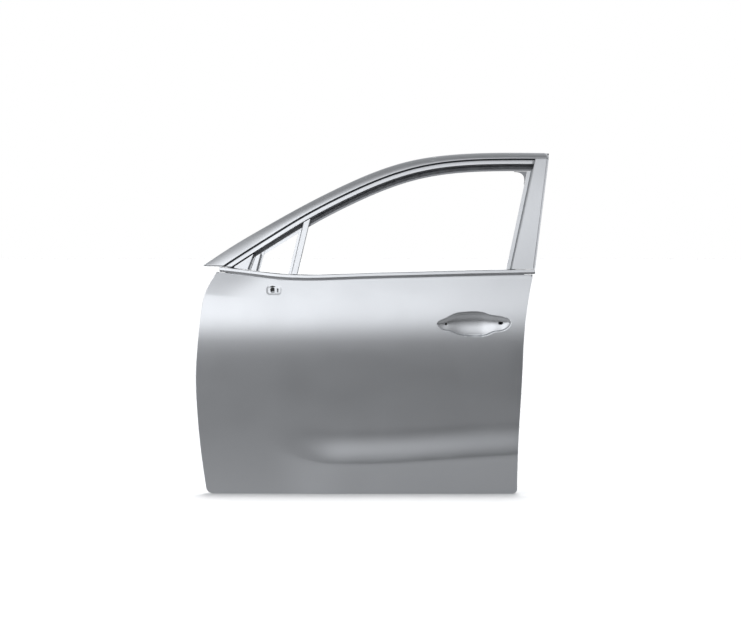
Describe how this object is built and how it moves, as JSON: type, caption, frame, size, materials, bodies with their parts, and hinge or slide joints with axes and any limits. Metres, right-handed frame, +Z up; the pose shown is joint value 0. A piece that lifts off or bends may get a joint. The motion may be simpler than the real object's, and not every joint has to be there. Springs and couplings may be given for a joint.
{
  "type": "car door shell",
  "caption": "Bare front left car door shell of pressed steel: hemmed outer skin with handle recess, inner panel, full window frame, impact beam and reinforcements; no hinges, latch or glass.",
  "frame": {"origin": "centre of the upper hinge pad, on the front shut face, midway between its two bolt holes", "axes": "+X to the rear of the car along the door, +Y into the car, +Z up; the outside faces -Y"},
  "size_m": [1.1487, 0.31, 1.1041],
  "materials": {
    "body": "satin silver grey",
    "reinforcement": "satin grey primer",
    "fastener": "zinc plated",
    "beam": "black dip coat",
    "glass_run": "matt black",
    "sealer": "matt"
  },
  "bodies": {
    "root": {"belt_rail": "body", "check_nut_1": "fastener", "check_nut_2": "fastener", "check_plate": "reinforcement", "corner_gusset": "body", "corner_panel": "body", "corner_plate": "body", "division_bar": "body", "division_guide": "reinforcement", "front_beam_bracket": "reinforcement", "front_lower_sash": "reinforcement", "glass_run_header": "glass_run", "glass_run_rear": "glass_run", "handle_plate": "reinforcement", "header_rail": "body", "header_sash": "body", "impact_beam": "beam", "inner_belt_stiffener": "reinforcement", "inner_panel": "body", "latch_plate": "reinforcement", "lower_hinge_nut_1": "fastener", "lower_hinge_nut_2": "fastener", "lower_hinge_plate": "reinforcement", "mirror_plate": "reinforcement", "outer_belt_stiffener": "reinforcement", "outer_skin": "body", "quarter_channel": "glass_run", "quarter_post": "body", "rear_beam_bracket": "reinforcement", "rear_guide": "reinforcement", "rear_lower_sash": "reinforcement", "rear_rail": "body", "rear_sash": "body", "sealer_pad_1": "sealer", "sealer_pad_2": "sealer", "sealer_pad_3": "sealer", "upper_hinge_nut_1": "fastener", "upper_hinge_nut_2": "fastener", "upper_hinge_plate": "reinforcement"}
  },
  "joints": []
}
